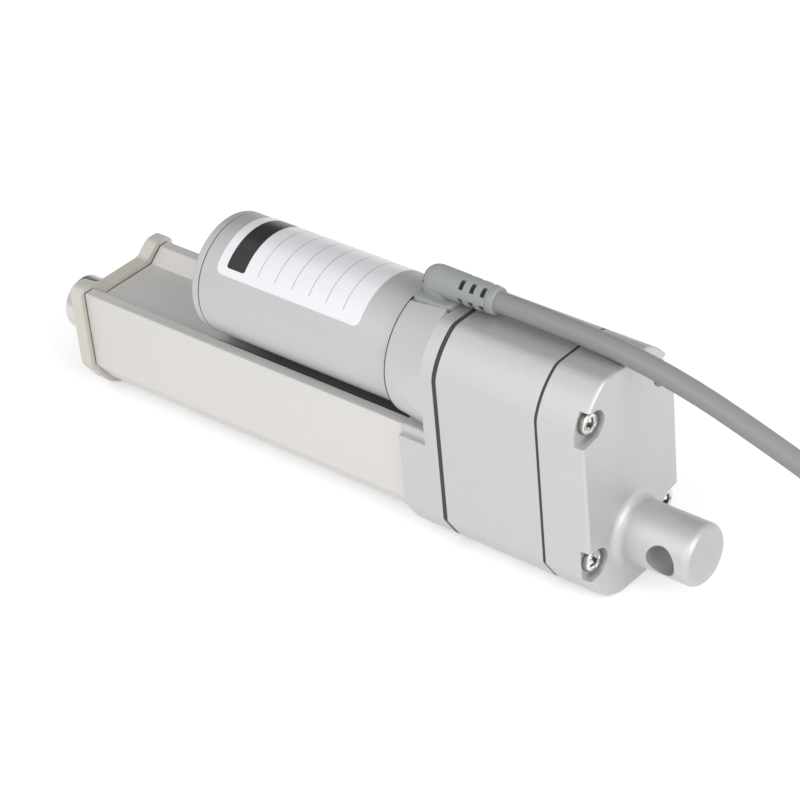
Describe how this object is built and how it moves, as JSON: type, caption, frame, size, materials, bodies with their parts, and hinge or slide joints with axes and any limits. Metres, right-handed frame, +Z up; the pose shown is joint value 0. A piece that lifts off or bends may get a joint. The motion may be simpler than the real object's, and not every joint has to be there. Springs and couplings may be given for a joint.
{
  "type": "electric linear actuator",
  "caption": "Compact electric linear actuator with a parallel motor above a square thrust tube, spur gear train, lead screw and a sliding rod with cross-drilled ends.",
  "frame": {"origin": "centre of the cross hole in the rear clevis post, on the lead screw axis", "axes": "+X is the way the rod extends, +Y is along the cross hole of the rear clevis, +Z is up, towards the motor"},
  "size_m": [0.4308, 0.0598, 0.0881],
  "materials": {
    "cast_silver": "fine grained silver paint on die castings",
    "cap_cast": "warm silver paint",
    "tube_anodised": "satin clear anodised extrusion",
    "gasket_black": "black nitrile rubber",
    "screw_steel": "bright zinc plated steel",
    "rod_steel": "ground stainless steel",
    "motor_cover_silver": "satin silver paint on steel",
    "label_white": "white film label, blank",
    "boot_grey": "moulded grey elastomer",
    "cable_grey": "grey PVC jacket",
    "nylon_black": "black nylon",
    "connector_nylon": "natural nylon",
    "lead_insulation": "PVC insulated leads",
    "screw_shaft_steel": "turned steel",
    "gear_steel": "sintered steel",
    "bearing_steel": "ground bearing steel",
    "bronze": "sintered bronze",
    "nut_acetal": "natural acetal",
    "copper": "enamelled copper",
    "rotor_steel": "stacked electrical steel",
    "ferrite": "sintered ferrite",
    "carbon": "pressed carbon",
    "can_steel": "zinc plated drawn steel",
    "board_green": "glass epoxy board"
  },
  "bodies": {
    "chassis": {"rear_cover": "cast_silver", "gear_housing": "cast_silver", "front_housing": "cast_silver", "front_cap": "cap_cast", "outer_tube": "tube_anodised", "rear_gasket": "gasket_black", "front_gasket": "gasket_black", "rod_wiper": "gasket_black", "cap_seal": "gasket_black", "cover_screws": "screw_steel", "front_cap_screws": "screw_steel", "motor_screws": "screw_steel", "motor_cover": "motor_cover_silver", "motor_cover_cap": "motor_cover_silver", "label": "label_white", "strain_relief": "boot_grey", "cable": "cable_grey", "cable_coil": "cable_grey", "cable_tail": "cable_grey", "cable_tie": "nylon_black", "limit_switches": "nylon_black", "motor_end_bell": "nylon_black", "connector": "connector_nylon", "connector_leads": "lead_insulation", "idler_pin": "screw_shaft_steel", "idler_spacer": "screw_shaft_steel", "bearing_outer_races": "bearing_steel", "rod_bushing": "bronze", "motor_bushings": "bronze", "motor_magnets": "ferrite", "motor_brushes": "carbon", "motor_can": "can_steel", "limit_switch_board": "board_green"},
    "rotor": {"motor_pinion": "gear_steel", "motor_shaft": "screw_shaft_steel", "rotor_core": "rotor_steel", "rotor_windings": "copper", "commutator": "copper"},
    "idler": {"idler_gear": "gear_steel"},
    "screw": {"lead_screw": "screw_shaft_steel", "output_gear": "gear_steel", "bearing_inner_races": "bearing_steel", "gear_key": "screw_shaft_steel", "gear_spacer": "screw_shaft_steel"},
    "rod": {"drive_nut": "nut_acetal", "extension_tube": "rod_steel", "rod_end": "rod_steel"}
  },
  "joints": [
    {"name": "motor_spin", "type": "hinge", "parent": "chassis", "child": "rotor", "pos_m": [0, 0, 0.0375], "axis": [-1, 0, 0], "range_deg": [0, 55714.28]},
    {"name": "idler_spin", "type": "hinge", "parent": "chassis", "child": "idler", "pos_m": [0, 0, 0.02], "axis": [-1, 0, 0], "continuous": true},
    {"name": "screw_spin", "type": "hinge", "parent": "chassis", "child": "screw", "pos_m": [0, 0, 0], "axis": [-1, 0, 0], "continuous": true},
    {"name": "rod_slide", "type": "slide", "parent": "chassis", "child": "rod", "axis": [1, 0, 0], "range_m": [0, 0.1]}
  ],
  "couplings": [
    {"joint": "idler_spin", "follows": "motor_spin", "ratio": -0.4},
    {"joint": "screw_spin", "follows": "motor_spin", "ratio": 0.21538},
    {"joint": "rod_slide", "follows": "motor_spin", "m_per_rad": 0.00010284}
  ]
}
